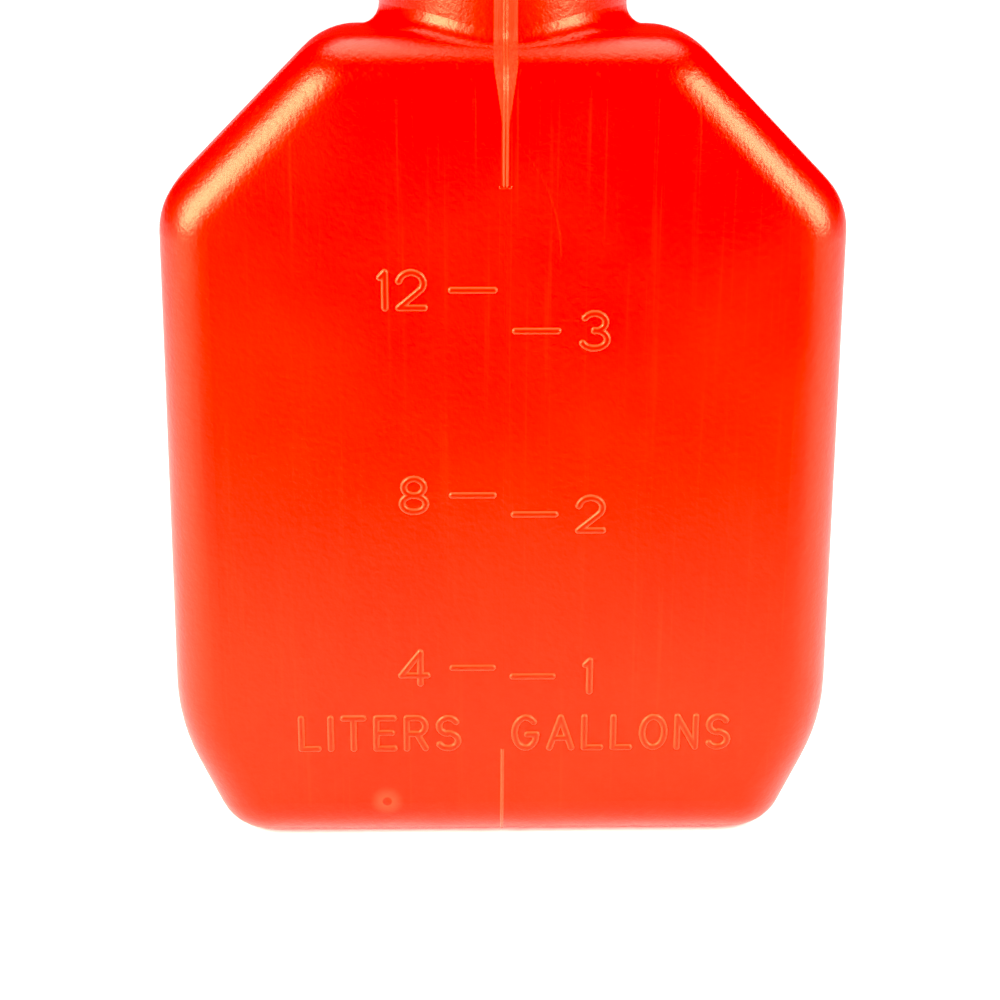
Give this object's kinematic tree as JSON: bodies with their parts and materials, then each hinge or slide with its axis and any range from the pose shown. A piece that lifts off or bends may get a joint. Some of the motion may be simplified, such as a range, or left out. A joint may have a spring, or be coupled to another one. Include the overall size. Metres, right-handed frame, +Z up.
{
  "type": "fuel can",
  "caption": "Blow-moulded plastic fuel can with a hand opening, a screw collar, a tilted self-closing spout with a sprung sleeve, and a flip-up vent cap.",
  "frame": {"origin": "on the floor, in the middle of the tank's foot", "axes": "+Z up; -Y towards the front end, below the filler; +X across the width"},
  "size_m": [0.2362, 0.3097, 0.5172],
  "materials": {
    "hdpe_red": "satin blow-moulded polyethylene",
    "plastic_black": "moulded",
    "plastic_yellow": "moulded",
    "plastic_natural": "moulded, undyed",
    "rubber_black": "moulded",
    "steel": "drawn"
  },
  "bodies": {
    "tank": {"tank": "hdpe_red", "vent_strap": "plastic_yellow"},
    "spout": {"spout_body": "plastic_black", "flange_gasket": "rubber_black", "arrester_frame": "plastic_black", "arrester_mesh": "steel", "vent_tube": "plastic_natural", "poppet_stem": "plastic_natural", "poppet_o_ring": "rubber_black", "return_spring": "steel"},
    "collar": {"screw_collar": "plastic_black"},
    "sleeve": {"slide_sleeve": "plastic_yellow", "sleeve_seal": "rubber_black", "spring_washer": "plastic_natural"},
    "vent_cap": {"vent_cap": "plastic_yellow", "vent_cap_seal": "rubber_black"}
  },
  "joints": [
    {"name": "spout_lift", "type": "slide", "parent": "tank", "child": "spout", "axis": [0, 0, 1], "range_m": [0, 0.012]},
    {"name": "collar_turn", "type": "hinge", "parent": "spout", "child": "collar", "pos_m": [0, -0.085, 0.36], "axis": [0, 0, 1], "range_deg": [0, 720]},
    {"name": "sleeve_slide", "type": "slide", "parent": "spout", "child": "sleeve", "axis": [0, 0.5736, -0.8192], "range_m": [0, 0.018], "stiffness_N_per_m": 600, "springref_m": -0.012, "deforming": ["return_spring"]},
    {"name": "vent_cap_flip", "type": "hinge", "parent": "tank", "child": "vent_cap", "pos_m": [0, 0.071, 0.3384], "axis": [-1, 0, 0], "range_deg": [0, 125]}
  ],
  "couplings": [
    {"joint": "spout_lift", "follows": "collar_turn", "m_per_rad": 0.00095493}
  ]
}
